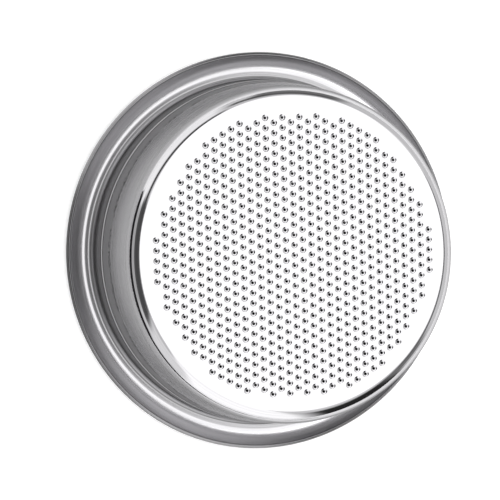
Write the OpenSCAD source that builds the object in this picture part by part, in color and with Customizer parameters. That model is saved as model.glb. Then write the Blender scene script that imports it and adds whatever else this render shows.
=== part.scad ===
// Espresso filter basket: one deep-drawn cup of thin stainless steel.
// It stands on its rim with the mouth down, and the perforated floor faces up.
// All lengths are in millimetres and all angles in degrees.

/* [Cup] */
// Outside diameter of the collar that fits the holder
collar_d = 60; // [57:0.5:66]
// Height from the mouth face of the rim to the outer face of the floor
height = 23; // [18:0.5:32]
// Thickness of the steel sheet
sheet_t = 0.7; // [0.5:0.1:0.9]
// Outside radius of the bend between the wall and the floor
corner_r = 3; // [2:0.25:5]
// Lean of the wall above the shoulder
wall_taper = 4.8; // [2:0.2:8]

/* [Shoulder] */
// Height of the shoulder above the mouth face
shoulder_z = 7.1; // [5:0.1:10]
// Sideways step of the wall at the shoulder
shoulder_step = 0.2; // [0.1:0.05:0.5]

/* [Rim] */
// Outside radius of the bend between the collar and the flat ring
neck_r = 1; // [0.5:0.1:2]
// Width of the flat ring between the neck's bend and the lip
flat_w = 0.4; // [0.2:0.1:2]
// Inside radius of the turned lip
lip_r = 4; // [2:0.1:5]
// Angle that the lip is turned through from the flat ring
lip_turn = 50; // [30:5:80]

/* [Holes] */
// Distance between the centres of neighbouring holes
hole_pitch = 1.725; // [1.4:0.025:3]
// Diameter of the straight part of each hole
hole_d = 0.45; // [0.3:0.05:0.6]
// Diameter of each hole's flare at the outer face of the floor
flare_d = 1.15; // [0.8:0.05:1.3]
// Depth of each flare
flare_depth = 0.18; // [0.1:0.01:0.4]
// Plain band between the field of holes and the bend
edge_land = 1.5; // [0.8:0.1:6]

/* [Hidden] */
steel = "silver";
// Facets of the large turned surfaces
$fn = 120;
// Facets of one small hole
hole_fn = 24;
// How far a cutting body runs past the sheet
cut_over = 0.2;

collar_r = collar_d / 2;
inner_corner_r = corner_r - sheet_t;
// Centre of the neck's bend
neck_x = collar_r + neck_r;
neck_z = sheet_t + neck_r;
// Centre of the lip's bend, which starts at the outer edge of the flat ring
lip_x = neck_x + flat_w;
lip_z = sheet_t + lip_r;
// The wall starts one step in from the collar, at the top of the shoulder
wall_r = collar_r - shoulder_step;
wall_z = shoulder_z + shoulder_step;
// Centre of the corner's bend, which touches the leaning wall and the floor
corner_z = height - corner_r;
corner_x = wall_r - (corner_z - wall_z) * tan(wall_taper) - corner_r / cos(wall_taper);
// The field of holes is the largest that leaves the plain band
hole_rings = floor((corner_x - edge_land) / hole_pitch);

// Point at an angle on a circle round a centre
function on_circle(x, z, r, a) = [x + r * cos(a), z + r * sin(a)];

// Pie slice between two angles that are less than half a turn apart
module slice(x, z, r, from, to) {
    reach = 2 * r;
    intersection() {
        translate([x, z]) circle(r = r);
        polygon([
            [x, z],
            on_circle(x, z, reach, from),
            on_circle(x, z, reach, (from + to) / 2),
            on_circle(x, z, reach, to)
        ]);
    }
}

// Section of a bend in the sheet, from its inside radius outwards
module bend(x, z, inner_r, from, to) {
    difference() {
        slice(x, z, inner_r + sheet_t, from, to);
        translate([x, z]) circle(r = inner_r);
    }
}

// Section of the leaning wall between the corner and the shoulder
module wall_section() {
    polygon([
        on_circle(corner_x, corner_z, corner_r, wall_taper),
        on_circle(corner_x, corner_z, inner_corner_r, wall_taper),
        [wall_r - sheet_t / cos(wall_taper), wall_z],
        [wall_r, wall_z]
    ]);
}

// Section of the small slope that carries the wall out to the collar
module shoulder_section() {
    polygon([
        [wall_r, wall_z],
        [wall_r - sheet_t / cos(wall_taper), wall_z],
        [collar_r - sheet_t, shoulder_z],
        [collar_r, shoulder_z]
    ]);
}

// Section of the whole sheet on one side of the axis
module sheet_section() {
    translate([0, height - sheet_t]) square([corner_x, sheet_t]);
    bend(corner_x, corner_z, inner_corner_r, wall_taper, 90);
    wall_section();
    shoulder_section();
    translate([collar_r - sheet_t, neck_z]) square([sheet_t, shoulder_z - neck_z]);
    bend(neck_x, neck_z, neck_r, 180, 270);
    translate([neck_x, 0]) square([flat_w, sheet_t]);
    bend(lip_x, lip_z, lip_r, 270, 270 + lip_turn);
}

// Cutting body of one hole, with its flare at the floor's outer face
module flared_hole() {
    hole_r = hole_d / 2;
    flare_slope = (flare_d / 2 - hole_r) / flare_depth;
    rotate_extrude($fn = hole_fn)
        polygon([
            [0, -sheet_t - cut_over],
            [hole_r, -sheet_t - cut_over],
            [hole_r, -flare_depth],
            [flare_d / 2 + flare_slope * cut_over, cut_over],
            [0, cut_over]
        ]);
}

// Squared distance from the centre to a lattice place, in hole pitches
function ring_square(i, j) = i * i + i * j + j * j;

// The six places at the ends of the three centre lines stay plain
function line_end(i, j) = (i == 0 || j == 0 || i + j == 0)
    && ring_square(i, j) == hole_rings * hole_rings;

function in_field(i, j) = ring_square(i, j) <= hole_rings * hole_rings && !line_end(i, j);

// Holes in a triangular lattice that fills a round field
module hole_field() {
    reach = ceil(hole_rings * 2 / sqrt(3));
    for (i = [-reach:reach], j = [-reach:reach])
        if (in_field(i, j))
            translate([i * hole_pitch * sqrt(3) / 2, (j + i / 2) * hole_pitch, height])
                flared_hole();
}

module basket() {
    color(steel)
        difference() {
            rotate_extrude() sheet_section();
            hole_field();
        }
}

basket();
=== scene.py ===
import bpy
import numpy as np
from mathutils import Matrix, Vector
from mathutils.geometry import delaunay_2d_cdt


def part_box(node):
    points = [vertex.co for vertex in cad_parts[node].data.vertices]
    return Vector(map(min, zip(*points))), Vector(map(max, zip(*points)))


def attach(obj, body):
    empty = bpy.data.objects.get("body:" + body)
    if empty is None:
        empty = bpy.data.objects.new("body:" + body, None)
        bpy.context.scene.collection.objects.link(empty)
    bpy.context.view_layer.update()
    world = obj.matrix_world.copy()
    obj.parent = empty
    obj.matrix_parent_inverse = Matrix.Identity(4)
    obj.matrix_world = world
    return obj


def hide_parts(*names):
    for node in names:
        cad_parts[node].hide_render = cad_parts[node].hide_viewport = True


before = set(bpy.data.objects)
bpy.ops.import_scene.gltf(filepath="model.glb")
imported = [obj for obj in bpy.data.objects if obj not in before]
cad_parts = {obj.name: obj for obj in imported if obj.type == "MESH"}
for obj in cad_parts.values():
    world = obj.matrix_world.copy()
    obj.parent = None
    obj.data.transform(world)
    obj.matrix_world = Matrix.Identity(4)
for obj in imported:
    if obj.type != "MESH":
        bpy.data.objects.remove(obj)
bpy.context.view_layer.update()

cup_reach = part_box("basket")[1]
MM = 0.001
scene = bpy.context.scene
scene.view_settings.view_transform = "Standard"

# Camera
# It looks down on the basket's floor from the left, about sixteen degrees off the cup's axis.
# From its place and with its lens the lattice of holes looks as it does in the photograph.
CAMERA_PLACE = Vector((-0.12499, 0.02247, cup_reach.z + 0.43526))
CAMERA_RIGHT = Vector((0.96483, -0.02950, 0.26123))
CAMERA_UP = Vector((0.04074, 0.99846, -0.03772))
CAMERA_LENS = 193.6
CAMERA_SENSOR = 36.0
CAMERA_NEAR = 0.01
CAMERA_FAR = 20.0

camera_data = bpy.data.cameras.new("camera")
camera_data.lens = CAMERA_LENS
camera_data.sensor_width = CAMERA_SENSOR
camera_data.clip_start = CAMERA_NEAR
camera_data.clip_end = CAMERA_FAR
camera = bpy.data.objects.new("camera", camera_data)
scene.collection.objects.link(camera)
camera_back = CAMERA_RIGHT.cross(CAMERA_UP).normalized()
camera_side = CAMERA_UP.cross(camera_back).normalized()
camera_turn = Matrix((camera_side, camera_back.cross(camera_side), camera_back)).transposed()
camera.matrix_world = Matrix.Translation(CAMERA_PLACE) @ camera_turn.to_4x4()
scene.camera = camera

# Drawn cup
# One blank of stainless sheet, drawn into a cup, turned out at the rim and punched with flared holes.
# Its section is a chain of straight stretches and bends, spun round the axis, with the cut edge broken.
# Its sizes are in millimetres and its angles in degrees.
SHEET = 0.7
RIM_R = cup_reach.x / MM
HEIGHT = cup_reach.z / MM
COLLAR_R = 30.0
CORNER_R = 3.0
WALL_TAPER = 4.8
SHOULDER_Z = 7.1
SHOULDER_STEP = 0.2
SHOULDER_BLEND = 0.35
SHOULDER_ROWS = 8
NECK_R = 1.0
LIP_R = 3.35
LIP_TURN = 50.0
EDGE_BREAK = 0.12
EDGE_ROWS = 4
TURNS = 192
# Degrees between the rows of faces round a bend, on the sheet's outer face and on its inner one
BEND_STEP = 3.5
INNER_BEND_STEP = 10.0
# Length of the short row of faces that keeps a straight stretch flat up to its end
HOLD = 0.12

HOLE_PITCH = 1.725
HOLE_RINGS = 14
HOLE_R = 0.225
FLARE_R = 0.575
FLARE_DEPTH = 0.18
FLARE_ROUND = 0.03
FLARE_DISH = 1.6
HOLE_SIDES = 16

# The flat ring is slightly crowned, and the slope outside its crown catches the light
CROWN_R = 31.55
CROWN_HEIGHT = 0.02
CROWN_DROP = 0.05
CROWN_BEND = 1.2


def arc(x, z, radius, start, end, bend_step):
    """Points on a circle about (x, z), from one angle to another, one every bend_step degrees or less."""
    rows = max(2, int(np.ceil(abs(end - start) / bend_step)))
    angle = np.radians(np.linspace(start, end, rows + 1))
    return np.stack([x + radius * np.cos(angle), z + radius * np.sin(angle)], 1)


def held_line(start, end):
    """The two points a short way inside the ends of a straight stretch."""
    start, end = np.array(start), np.array(end)
    along = (end - start) / np.linalg.norm(end - start)
    return np.stack([start + HOLD * along, end - HOLD * along])


def crowned(start, end):
    """Points along the flat ring's upper side.

    It rises to its crown as one less the square of the distance left, and falls to the lip's bend as
    the distance passed to the power of CROWN_BEND.
    """
    r = np.array([start[0] + HOLD, CROWN_R - HOLD, CROWN_R, CROWN_R + HOLD, end[0] - HOLD])
    crown_z = start[1] + CROWN_HEIGHT
    rise = crown_z - CROWN_HEIGHT * ((CROWN_R - r) / (CROWN_R - start[0])).clip(0) ** 2
    fall = CROWN_DROP * ((r - CROWN_R) / (end[0] - CROWN_R)).clip(0) ** CROWN_BEND
    return np.stack([r, rise - fall], 1)


def sheet_face(inset):
    """One face of the sheet from the floor's edge to the lip's end; inset is 0 outside and SHEET inside.

    Each bend is an arc about the same centre for both faces, so the sheet keeps its thickness. The
    shoulder steps out as the smooth step 3 t^2 - 2 t^3 of the part t of its height.
    """
    taper = np.radians(WALL_TAPER)
    bend_step = BEND_STEP if inset == 0 else INNER_BEND_STEP
    wall_r = COLLAR_R - SHOULDER_STEP
    wall_z = SHOULDER_Z + SHOULDER_STEP
    corner_z = HEIGHT - CORNER_R
    corner_x = wall_r - (corner_z - wall_z) * np.tan(taper) - CORNER_R / np.cos(taper)
    neck_x, neck_z = COLLAR_R + NECK_R, SHEET + NECK_R
    lip_x = RIM_R - (LIP_R + SHEET) * np.sin(np.radians(LIP_TURN))
    lip_z = SHEET + LIP_R
    floor_edge = np.array([[corner_x - HOLD, HEIGHT - inset]])
    corner = arc(corner_x, corner_z, CORNER_R - inset, 90.0, WALL_TAPER, bend_step)
    blend = np.linspace(0.0, 1.0, SHOULDER_ROWS + 1)
    step_z = wall_z + SHOULDER_BLEND / 2 - blend * (SHOULDER_STEP + SHOULDER_BLEND)
    lean = np.maximum(step_z - wall_z, 0.0) * np.tan(taper)
    step_r = wall_r - lean + SHOULDER_STEP * blend**2 * (3 - 2 * blend) - inset
    shoulder = np.stack([step_r, step_z], 1)
    neck = arc(neck_x, neck_z, NECK_R + inset, 180.0, 270.0, bend_step)
    lip = arc(lip_x, lip_z, LIP_R + inset, 270.0, 270.0 + LIP_TURN, bend_step)
    wall = held_line(corner[-1], shoulder[0])
    collar = held_line(shoulder[-1], neck[0])
    flat_ring = held_line(neck[-1], lip[0])
    if inset == 0:
        flat_ring = crowned(neck[-1], lip[0])
        lip[:, 1] += (CROWN_HEIGHT - CROWN_DROP) * (1 - (lip[:, 0] - lip_x) / (RIM_R - lip_x)).clip(0)
    return np.concatenate([floor_edge, corner, wall, shoulder, collar, neck, flat_ring, lip])


def cut_edge(upper, lower):
    """The sheet's cut edge between the last points of its two faces, with a quarter round at each corner."""
    across = (lower - upper) / np.linalg.norm(lower - upper)
    ahead = np.array([-across[1], across[0]])
    angle = np.radians(np.linspace(0.0, 90.0, EDGE_ROWS + 1))
    inward = (1 - np.cos(angle))[:, None] * across
    out = (np.sin(angle) - 1)[:, None] * ahead
    first = upper + EDGE_BREAK * (inward + out)
    second = lower + EDGE_BREAK * (out - inward)
    return np.concatenate([first, second[::-1]])


def cup_section():
    """Run of points round the sheet: the outer face out to the lip, the cut edge, the inner face back."""
    outer = sheet_face(0.0)
    inner = sheet_face(SHEET)
    return np.concatenate([outer[:-1], cut_edge(outer[-1], inner[-1]), inner[-2::-1]])


def hole_centres():
    """Places (i, j) of a triangular lattice no further than HOLE_RINGS pitches out, less the six line ends.

    The squared distance of a place from the middle is i^2 + i j + j^2, in hole pitches.
    """
    reach = int(np.ceil(HOLE_RINGS * 2 / np.sqrt(3)))
    i, j = np.meshgrid(np.arange(-reach, reach + 1), np.arange(-reach, reach + 1), indexing="ij")
    square = i * i + i * j + j * j
    line_end = ((i == 0) | (j == 0) | (i + j == 0)) & (square == HOLE_RINGS**2)
    punched = (square <= HOLE_RINGS**2) & ~line_end
    i, j = i[punched], j[punched]
    return np.stack([i * np.sqrt(3) / 2, j + i / 2], 1) * HOLE_PITCH


def strip_faces(first, second):
    """Quads between two closed rings of vertex numbers; the arrays' last axis runs round the ring."""
    ahead, below = np.roll(first, -1, -1), np.roll(second, -1, -1)
    return np.stack([first, second, below, ahead], -1).reshape(-1, 4)


# Two points closer than this are taken as one, in millimetres
SAME_POINT = 1e-6
# A triangle whose middle is nearer to a hole's centre than this part of its ring lies in the hole
IN_HOLE = 0.97


def plate_faces(outer_ring, hole_rings, points, centres):
    """Triangles of a flat plate between its outer ring and the holes' rings of vertex numbers."""
    rings = [outer_ring, *hole_rings]
    used = np.concatenate(rings)
    sizes = np.array([len(ring) for ring in rings])
    starts = np.repeat(np.cumsum(sizes) - sizes, sizes)
    ahead = starts + (np.arange(len(used)) - starts + 1) % np.repeat(sizes, sizes)
    edges = np.stack([np.arange(len(used)), ahead], 1)
    flat = [Vector(xy) for xy in points[used, :2].tolist()]
    found = delaunay_2d_cdt(flat, edges.tolist(), [], 0, SAME_POINT, True)
    source = np.array([ids[0] for ids in found[3]])
    faces = source[np.array(found[2])]
    middle = points[used][faces][:, :, :2].mean(1)
    gap = np.linalg.norm(middle[:, None] - centres[None], axis=2).min(1)
    ring_gap = np.linalg.norm(points[hole_rings[0], :2] - centres[0], axis=1).min()
    return used[faces[gap > ring_gap * IN_HOLE]]


def facing(faces, points, upward):
    """The same triangles, each turned so that its normal points up or down."""
    a, b, c = (points[faces[:, k], :2] for k in range(3))
    turned = (b - a)[:, 0] * (c - a)[:, 1] - (b - a)[:, 1] * (c - a)[:, 0]
    wrong = (turned < 0) == upward
    return np.where(wrong[:, None], faces[:, ::-1], faces)


section = cup_section()
turn_angle = np.arange(TURNS) * 2 * np.pi / TURNS
turned_x = section[:, :1] * np.cos(turn_angle)
turned_y = section[:, :1] * np.sin(turn_angle)
turned = np.stack([turned_x, turned_y, np.repeat(section[:, 1:], TURNS, 1)], -1)
turned_ids = np.arange(len(section) * TURNS).reshape(len(section), TURNS)

# Each flare is a shallow dish, steepest at its edge: depth = FLARE_DEPTH * (1 - part ** FLARE_DISH)
centres = hole_centres()
side_angle = np.arange(HOLE_SIDES) * 2 * np.pi / HOLE_SIDES
dish_part = np.array([0.93, 0.62, 0.3, 0.0])
dish_r = HOLE_R + (FLARE_R - HOLE_R) * dish_part
dish_z = HEIGHT - FLARE_DEPTH * (1 - dish_part**FLARE_DISH)
flare_edge = [FLARE_R + FLARE_ROUND, HEIGHT]
bore_end = [HOLE_R, HEIGHT - SHEET]
hole_profile = np.array([flare_edge, *np.stack([dish_r, dish_z], 1).tolist(), bore_end])
side_xy = np.stack([np.cos(side_angle), np.sin(side_angle)], 1)
holes = np.empty((len(centres), len(hole_profile), HOLE_SIDES, 3))
holes[..., :2] = centres[:, None, None] + hole_profile[None, :, None, :1] * side_xy
holes[..., 2] = hole_profile[None, :, None, 1]
hole_ids = turned_ids.size + np.arange(holes[..., 0].size).reshape(holes.shape[:3])

points = np.concatenate([turned.reshape(-1, 3), holes.reshape(-1, 3)])
top_plate = plate_faces(turned_ids[0], list(hole_ids[:, 0]), points, centres)
under_plate = plate_faces(turned_ids[-1], list(hole_ids[:, -1]), points, centres)
turned_quads = strip_faces(turned_ids[:-1], turned_ids[1:])
hole_quads = strip_faces(hole_ids[:, 1:], hole_ids[:, :-1])
quads = np.concatenate([turned_quads, hole_quads])
triangles = np.concatenate([facing(top_plate, points, True), facing(under_plate, points, False)])

cup_mesh = bpy.data.meshes.new("basket_cup")
cup_mesh.from_pydata((points * MM).tolist(), [], quads.tolist() + triangles.tolist())
cup_mesh.update()
cup_mesh.shade_smooth()

# The edges of both plates, of each flare and of each bore stay sharp. Edges between the rings of two
# neighbouring holes are longer than a ring's own, and stay smooth.
RING_EDGE = 1.2
plate_rings = [turned_ids[0], turned_ids[-1]]
punched_rings = [hole_ids[:, 0], hole_ids[:, -2], hole_ids[:, -1]]
ring_number = np.zeros(len(points), int)
for number, ring in enumerate(plate_rings + punched_rings, start=1):
    ring_number[ring] = number
edge_ends = np.empty(len(cup_mesh.edges) * 2, int)
cup_mesh.edges.foreach_get("vertices", edge_ends)
edge_ends = edge_ends.reshape(-1, 2)
edge_length = np.linalg.norm(points[edge_ends[:, 0]] - points[edge_ends[:, 1]], axis=1)
first_ring, second_ring = ring_number[edge_ends].T
plate_side = 2 * np.pi * COLLAR_R / TURNS
hole_side = 2 * np.pi * FLARE_R / HOLE_SIDES
ring_side = np.where(first_ring <= len(plate_rings), plate_side, hole_side)
sharp = (first_ring > 0) & (first_ring == second_ring) & (edge_length < RING_EDGE * ring_side)
sharp_edges = cup_mesh.attributes.new("sharp_edge", "BOOLEAN", "EDGE")
sharp_edges.data.foreach_set("value", sharp)

basket_cup = bpy.data.objects.new("basket_cup", cup_mesh)
scene.collection.objects.link(basket_cup)
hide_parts("basket")
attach(basket_cup, "root")

# Stainless steel: bright on the floor, satin on the wall, rougher where the collar was turned, with painted
# shade
STEEL_COLOUR = (0.577, 0.571, 0.585, 1.0)
GRAZING_TINT = (0.5, 0.5, 0.5, 1.0)
FLOOR_ROUGHNESS = 0.08
DARKEST_SHADE = 0.06

steel = bpy.data.materials.new("stainless_steel")
steel.use_nodes = True
steel_tree = steel.node_tree
shader = steel_tree.nodes["Principled BSDF"]
shader.inputs["Metallic"].default_value = 1.0
shader.inputs["Specular Tint"].default_value = GRAZING_TINT
cup_mesh.materials.append(steel)


def math_node(tree, operation, *given):
    """A Math node fed by sockets or by plain values; returns its output."""
    node = tree.nodes.new("ShaderNodeMath")
    node.operation = operation
    for place, value in enumerate(given):
        if isinstance(value, (int, float)):
            node.inputs[place].default_value = value
        else:
            tree.links.new(value, node.inputs[place])
    return node.outputs[0]


def smooth_rise(tree, value, middle, soft):
    """Rises smoothly from 0 to 1 as value passes the middle, over a width of soft; returns its output."""
    rise = tree.nodes.new("ShaderNodeMapRange")
    rise.interpolation_type = "SMOOTHSTEP"
    rise.inputs["From Min"].default_value = middle - soft / 2
    rise.inputs["From Max"].default_value = middle + soft / 2
    tree.links.new(value, rise.inputs["Value"])
    return rise.outputs["Result"]


def band(tree, value, start, end, soft):
    """1 where value lies between start and end, with soft edges, and 0 elsewhere; returns its output."""
    past_start = smooth_rise(tree, value, start, soft)
    past_end = smooth_rise(tree, value, end, soft)
    return math_node(tree, "SUBTRACT", past_start, past_end)


def noise(tree, vector, scale, detail, roughness=0.5):
    """Noise about 0.5 whose spots are 1 / scale wide; returns its grey output."""
    node = tree.nodes.new("ShaderNodeTexNoise")
    node.inputs["Scale"].default_value = scale
    node.inputs["Detail"].default_value = detail
    node.inputs["Roughness"].default_value = roughness
    tree.links.new(vector, node.inputs["Vector"])
    return node.outputs["Fac"]


# Places on the cup in millimetres, as the mesh has them
coordinates = steel_tree.nodes.new("ShaderNodeTexCoord")
in_mm = steel_tree.nodes.new("ShaderNodeVectorMath")
in_mm.operation = "SCALE"
in_mm.inputs["Scale"].default_value = 1 / MM
steel_tree.links.new(coordinates.outputs["Object"], in_mm.inputs["Vector"])
place = in_mm.outputs["Vector"]
parts = steel_tree.nodes.new("ShaderNodeSeparateXYZ")
steel_tree.links.new(place, parts.inputs["Vector"])
x, y, z = (parts.outputs[name] for name in "XYZ")
x_square = math_node(steel_tree, "MULTIPLY", x, x)
y_square = math_node(steel_tree, "MULTIPLY", y, y)
radius = math_node(steel_tree, "SQRT", math_node(steel_tree, "ADD", x_square, y_square))

# Each zone of finish is a stretch of radii times a stretch of heights. A stretch is its start, its end and
# the softness of both. A zone ends with what it adds to the roughness and to the shade, mostly painted
# shade, and painted light on the lip.
FAR = 50.0
UNDER = -1.0
PLAIN_R = 25.0
OUTSIDE = (PLAIN_R, FAR, 1.0)
PERFORATED = (UNDER, PLAIN_R, 1.0)
ANY_HEIGHT = (UNDER, FAR, 1.0)
ON_RING = (UNDER, 2 * SHEET, 0.4)
FINISH_ZONES = {
    # The satin wall is rougher, and painted shade darkens it
    "satin_wall_painted_shade": (OUTSIDE, (SHOULDER_Z + 0.3, HEIGHT - 1.4, 0.3), 0.18, -0.18),
    # A band above the shoulder that is rougher and darker
    "rough_dark_band": (OUTSIDE, (SHOULDER_Z + 0.3, SHOULDER_Z + 4.7, 0.3), 0.12, -0.34),
    # Painted shade darkens the foot of the bend into the floor, against a bright reflection
    "bend_foot_painted_shade": (OUTSIDE, (HEIGHT - 2.7, HEIGHT - 1.3, 0.4), 0.0, -0.24),
    # Painted shade draws a dark line along the shoulder's step
    "shoulder_step": (OUTSIDE, (SHOULDER_Z - 0.5, SHOULDER_Z + 0.5, 0.2), 0.0, -0.50),
    # The collar is rougher, and painted shade darkens it under the lip
    "collar": ((COLLAR_R - 1.5, COLLAR_R + 0.8, 0.3), (SHEET + 0.5, SHOULDER_Z - 0.1, 0.2), 0.28, -0.45),
    # Painted shade darkens the flat ring inside its crown
    "flat_ring": ((COLLAR_R + 0.6, CROWN_R, 0.2), ON_RING, 0.0, -0.30),
    # The neck is rougher, and painted shade darkens its bend and dims its highlight
    "neck": ((COLLAR_R - 0.2, COLLAR_R + 0.8, 0.2), (UNDER, SHEET + 0.5, 0.3), 0.10, -0.36),
    # The groove round the neck is rougher, and painted shade dims its highlight
    "groove_painted_shade": ((COLLAR_R, COLLAR_R + 2.2, 0.2), ON_RING, 0.16, -0.10),
    # The lip is rougher, and painted light brightens it
    "lip": ((COLLAR_R + 2.2, FAR, 0.6), (UNDER, 5.0, 0.1), 0.14, 0.55),
    # Painted shade darkens the outer part of the lip
    "lip_outer_painted_shade": ((RIM_R - 1.6, FAR, 2.0), ANY_HEIGHT, 0.0, -0.42),
    # Painted shade darkens the lip's cut end
    "lip_end_painted_shade": ((RIM_R - 0.7, FAR, 0.3), ANY_HEIGHT, 0.0, -0.70),
    # Painted shade darkens the bores of the holes
    "bores_painted_shade": (PERFORATED, (HEIGHT - 0.65, HEIGHT - 0.17, 0.02), 0.0, -0.80),
}
# Painted shade makes the collar darker still in its upper part, by this amount
COLLAR_TOP = (SHOULDER_Z - 2.5, SHOULDER_Z + 0.9, 1.0)
COLLAR_TOP_PAINTED_SHADE = -0.18

roughness = FLOOR_ROUGHNESS
shade = 1.0
zones = {}
for name, (radii, heights, added_roughness, added_shade) in FINISH_ZONES.items():
    in_radii = band(steel_tree, radius, *radii)
    in_heights = band(steel_tree, z, *heights)
    zones[name] = math_node(steel_tree, "MULTIPLY", in_radii, in_heights)
    roughness = math_node(steel_tree, "MULTIPLY_ADD", zones[name], added_roughness, roughness)
    shade = math_node(steel_tree, "MULTIPLY_ADD", zones[name], added_shade, shade)
collar_top = math_node(steel_tree, "MULTIPLY", zones["collar"], band(steel_tree, z, *COLLAR_TOP))
shade = math_node(steel_tree, "MULTIPLY_ADD", collar_top, COLLAR_TOP_PAINTED_SHADE, shade)

# Fine turning lines follow the section and drift slowly across the cup
LINE_PITCH = 0.22
LINE_DRIFT = 0.06
LINE_ROUGHNESS = 0.10
LINE_SHADE = 0.45
around = steel_tree.nodes.new("ShaderNodeCombineXYZ")
steel_tree.links.new(math_node(steel_tree, "DIVIDE", radius, LINE_PITCH), around.inputs["X"])
steel_tree.links.new(math_node(steel_tree, "DIVIDE", z, LINE_PITCH), around.inputs["Y"])
steel_tree.links.new(math_node(steel_tree, "MULTIPLY", x, LINE_DRIFT), around.inputs["Z"])
line_noise = noise(steel_tree, around.outputs["Vector"], 1.0, 3.0, 0.6)
line_height = math_node(steel_tree, "SUBTRACT", line_noise, 0.5)
lines = math_node(steel_tree, "MULTIPLY", line_height, band(steel_tree, radius, *OUTSIDE))
roughness = math_node(steel_tree, "MULTIPLY_ADD", lines, LINE_ROUGHNESS, roughness)
shade = math_node(steel_tree, "MULTIPLY_ADD", lines, LINE_SHADE, shade)

# A ragged line of small marks runs round the top of the rougher, darker band, broken into patches
MARK_SIZE = 0.4
MARK_MIDDLE = 0.58
MARK_SHADE = 2.0
MARK_RELIEF = 0.8
PATCH_SIZE = 4.0
PATCH_EDGE = 0.47
PATCH_SOFT = 0.1
MARKED_LINE = (SHOULDER_Z + 3.6, SHOULDER_Z + 5.0, 0.5)
mark_noise = noise(steel_tree, place, 1 / MARK_SIZE, 3.0)
patch_noise = noise(steel_tree, place, 1 / PATCH_SIZE, 2.0)
patches = smooth_rise(steel_tree, patch_noise, PATCH_EDGE, PATCH_SOFT)
on_wall = band(steel_tree, radius, *OUTSIDE)
on_line = band(steel_tree, z, *MARKED_LINE)
marked = math_node(steel_tree, "MULTIPLY", math_node(steel_tree, "MULTIPLY", on_wall, on_line), patches)
mark_height = math_node(steel_tree, "SUBTRACT", mark_noise, MARK_MIDDLE)
marks = math_node(steel_tree, "MULTIPLY", mark_height, marked)
shade = math_node(steel_tree, "MULTIPLY_ADD", marks, MARK_SHADE, shade)

shaded = steel_tree.nodes.new("ShaderNodeMix")
shaded.data_type = "RGBA"
shaded.blend_type = "MULTIPLY"
shaded.inputs["Factor"].default_value = 1.0
shaded.inputs["A"].default_value = STEEL_COLOUR
steel_tree.links.new(math_node(steel_tree, "MAXIMUM", shade, DARKEST_SHADE), shaded.inputs["B"])
steel_tree.links.new(shaded.outputs["Result"], shader.inputs["Base Color"])
steel_tree.links.new(roughness, shader.inputs["Roughness"])

RELIEF_DEPTH = 0.01
relief = steel_tree.nodes.new("ShaderNodeBump")
relief.inputs["Strength"].default_value = 0.25
relief.inputs["Distance"].default_value = RELIEF_DEPTH * MM
marks_and_lines = math_node(steel_tree, "MULTIPLY_ADD", marks, MARK_RELIEF, lines)
steel_tree.links.new(marks_and_lines, relief.inputs["Height"])
steel_tree.links.new(relief.outputs["Normal"], shader.inputs["Normal"])

# Light tent
# A tent of glowing white cloth stands round the basket, out of the camera's sight.
# Some of its sheets are brighter and some nearly black, and the studio's sizes are in metres.
TENT_R = 1.2
TENT_LEVEL = 0.9
# Each sheet: middle and half width round the horizon, angles from the zenith, brightness, softness
TENT_SHEETS = [
    (262, 25, 0, 87, 1.7, 6),
    (228, 13, 42, 84, 1.1, 8),
    (130, 27, 58, 92, 1.4, 8),
    (128, 30, 44, 55, 0.08, 6),
    (183, 30, 31, 66, 0.10, 8),
    (180, 22, 66, 80, 0.6, 6),
    (184, 32, 82, 96, 0.02, 5),
    (307, 15, 52, 93, 0.03, 8),
    (326, 8, 50, 76, 0.25, 8),
    (71, 17, 61, 78, 0.16, 8),
    (71, 17, 74, 96, 0.26, 8),
    (90, 8, 63, 74, 0.12, 5),
    (350, 26, 49, 60, 0.2, 5),
]
OVERHEAD_TILT = 14
OVERHEAD_AZIMUTH = 40
OVERHEAD_SPREAD = 41
OVERHEAD_LEVEL = 1.9
OVERHEAD_SOFT = 5
# The cloth's grid runs down from the top opening to below the floor, one column to a degree
TENT_OPENING = 0.5
TENT_FOOT = 95.0
TENT_ROWS = 190
TENT_COLUMNS = 360


def soft_step(value, edge, width):
    """Rises smoothly from 0 to 1 as value passes the edge, over the given width."""
    part = np.clip((value - edge) / width + 0.5, 0.0, 1.0)
    return part * part * (3 - 2 * part)


def sheet_mask(polar, azimuth, middle, half_width, near, far, soft):
    """1 inside a sheet of the tent given by its azimuth and its angles from the zenith, 0 outside."""
    away = np.abs((azimuth - middle + 180) % 360 - 180)
    across = 1 - soft_step(away, half_width, soft)
    return across * soft_step(polar, near, soft) * (1 - soft_step(polar, far, soft))


def towards(polar, azimuth):
    """Directions at the given angles, in degrees, from the zenith and round the horizon."""
    down, turn = np.radians(np.broadcast_arrays(polar, azimuth))
    return np.stack([np.sin(down) * np.cos(turn), np.sin(down) * np.sin(turn), np.cos(down)], -1)


row_angles = np.linspace(TENT_OPENING, TENT_FOOT, TENT_ROWS)
column_angles = np.arange(TENT_COLUMNS) * 360 / TENT_COLUMNS
polar, azimuth = np.meshgrid(row_angles, column_angles, indexing="ij")
level = np.full(polar.shape, TENT_LEVEL)
for middle, half_width, near, far, bright, soft in TENT_SHEETS:
    level = level + (bright - level) * sheet_mask(polar, azimuth, middle, half_width, near, far, soft)
direction = towards(polar, azimuth)
overhead = towards(OVERHEAD_TILT, OVERHEAD_AZIMUTH)
spread = np.degrees(np.arccos(np.clip(direction @ overhead, -1, 1)))
level = level + (OVERHEAD_LEVEL - level) * (1 - soft_step(spread, OVERHEAD_SPREAD, OVERHEAD_SOFT))

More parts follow.
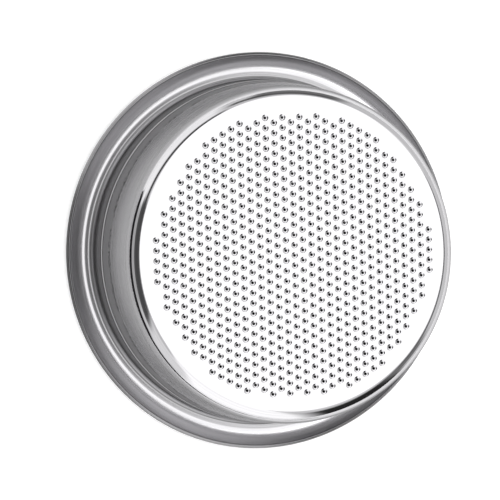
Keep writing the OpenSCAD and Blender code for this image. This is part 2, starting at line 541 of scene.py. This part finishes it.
tent_ids = np.arange(polar.size).reshape(polar.shape)
tent_faces = strip_faces(tent_ids[1:], tent_ids[:-1])
tent_mesh = bpy.data.meshes.new("tent")
tent_mesh.from_pydata((direction.reshape(-1, 3) * TENT_R).tolist(), [], tent_faces.tolist())
tent_levels = tent_mesh.attributes.new("level", "FLOAT", "POINT")
tent_levels.data.foreach_set("value", level.reshape(-1).astype(np.float32))
tent = bpy.data.objects.new("tent", tent_mesh)
scene.collection.objects.link(tent)
tent.visible_camera = False

tent_cloth = bpy.data.materials.new("tent_cloth")
tent_cloth.use_nodes = True
cloth_tree = tent_cloth.node_tree
cloth_tree.nodes.clear()
cloth_level = cloth_tree.nodes.new("ShaderNodeAttribute")
cloth_level.attribute_name = "level"
cloth_glow = cloth_tree.nodes.new("ShaderNodeEmission")
cloth_out = cloth_tree.nodes.new("ShaderNodeOutputMaterial")
cloth_tree.links.new(cloth_level.outputs["Fac"], cloth_glow.inputs["Strength"])
cloth_tree.links.new(cloth_glow.outputs["Emission"], cloth_out.inputs["Surface"])
tent_mesh.materials.append(tent_cloth)

# Black strip
# A low strip of black velvet stands on the floor to the left, just outside the view.
# It is seen only in the steel, and it gets lower towards the near edge of the picture.
STRIP_R = 0.13
STRIP_HEIGHT = 0.024
STRIP_MIDDLE = 221
STRIP_HALF_WIDTH = 69
STRIP_TAPER = 0.8
STRIP_TAPER_MIDDLE = 240
STRIP_TAPER_WIDTH = 60
STRIP_COLUMNS = 33
VELVET_COLOUR = (0.02, 0.02, 0.022, 1.0)

strip_turn = np.linspace(STRIP_MIDDLE - STRIP_HALF_WIDTH, STRIP_MIDDLE + STRIP_HALF_WIDTH, STRIP_COLUMNS)
strip_foot = towards(90.0, strip_turn) * [STRIP_R, STRIP_R, 0.0]
strip_low = STRIP_TAPER * soft_step(strip_turn, STRIP_TAPER_MIDDLE, STRIP_TAPER_WIDTH)
strip_top = strip_foot + np.outer(STRIP_HEIGHT * (1 - strip_low), [0, 0, 1])
foot_ids, top_ids = np.arange(2 * STRIP_COLUMNS).reshape(2, STRIP_COLUMNS)
strip_quads = np.stack([foot_ids[:-1], foot_ids[1:], top_ids[1:], top_ids[:-1]], 1)
strip_mesh = bpy.data.meshes.new("black_strip")
strip_mesh.from_pydata(np.concatenate([strip_foot, strip_top]).tolist(), [], strip_quads.tolist())
strip = bpy.data.objects.new("black_strip", strip_mesh)
scene.collection.objects.link(strip)
strip.visible_camera = False
strip.visible_diffuse = False
strip.visible_shadow = False

velvet = bpy.data.materials.new("black_velvet")
velvet.use_nodes = True
velvet_shader = velvet.node_tree.nodes["Principled BSDF"]
velvet_shader.inputs["Base Color"].default_value = VELVET_COLOUR
velvet_shader.inputs["Roughness"].default_value = 0.9
velvet_shader.inputs["Specular IOR Level"].default_value = 0.0
strip_mesh.materials.append(velvet)

# Floor and world
# A wide sheet of pale matt paper lies under the basket and takes its shadow, in a white world.
# What sees the paper, straight or in metal, sees it lifted to white, but not under the cup.
FLOOR_REACH = 6.0
FLOOR_COLOUR = (0.8, 0.8, 0.8, 1.0)
FLOOR_LIFT = 0.35
FAR_LIFT = 1.0
FAR_LIFT_START = 0.3
FAR_LIFT_END = 1.0
UNDER_CUP_R = 0.034

floor_corners = np.array([(-1, -1, 0), (1, -1, 0), (1, 1, 0), (-1, 1, 0)]) * FLOOR_REACH
floor_mesh = bpy.data.meshes.new("floor")
floor_mesh.from_pydata(floor_corners.tolist(), [], [(0, 1, 2, 3)])
floor = bpy.data.objects.new("floor", floor_mesh)
scene.collection.objects.link(floor)

paper = bpy.data.materials.new("floor_paper")
paper.use_nodes = True
paper_tree = paper.node_tree
paper_tree.nodes.clear()
matt = paper_tree.nodes.new("ShaderNodeBsdfDiffuse")
matt.inputs["Color"].default_value = FLOOR_COLOUR
path = paper_tree.nodes.new("ShaderNodeLightPath")
seen = math_node(paper_tree, "MAXIMUM", path.outputs["Is Camera Ray"], path.outputs["Is Glossy Ray"])
seen = math_node(paper_tree, "MAXIMUM", seen, path.outputs["Is Transmission Ray"])
paper_place = paper_tree.nodes.new("ShaderNodeTexCoord")
away = paper_tree.nodes.new("ShaderNodeVectorMath")
away.operation = "LENGTH"
paper_tree.links.new(paper_place.outputs["Object"], away.inputs["Vector"])
clear_of_cup = math_node(paper_tree, "GREATER_THAN", away.outputs["Value"], UNDER_CUP_R)
far_lift = paper_tree.nodes.new("ShaderNodeMapRange")
far_lift.inputs["From Min"].default_value = FAR_LIFT_START
far_lift.inputs["From Max"].default_value = FAR_LIFT_END
far_lift.inputs["To Min"].default_value = FLOOR_LIFT
far_lift.inputs["To Max"].default_value = FAR_LIFT
paper_tree.links.new(away.outputs["Value"], far_lift.inputs["Value"])
seen_lift = math_node(paper_tree, "MULTIPLY", seen, far_lift.outputs["Result"])
lift = paper_tree.nodes.new("ShaderNodeEmission")
paper_tree.links.new(math_node(paper_tree, "MULTIPLY", seen_lift, clear_of_cup), lift.inputs["Strength"])
matt_and_lift = paper_tree.nodes.new("ShaderNodeAddShader")
paper_tree.links.new(matt.outputs["BSDF"], matt_and_lift.inputs[0])
paper_tree.links.new(lift.outputs["Emission"], matt_and_lift.inputs[1])
paper_out = paper_tree.nodes.new("ShaderNodeOutputMaterial")
paper_tree.links.new(matt_and_lift.outputs["Shader"], paper_out.inputs["Surface"])
floor_mesh.materials.append(paper)

world = bpy.data.worlds.new("world")
world.use_nodes = True
background = world.node_tree.nodes["Background"]
background.inputs["Color"].default_value = (1.0, 1.0, 1.0, 1.0)
background.inputs["Strength"].default_value = 1.0
scene.world = world
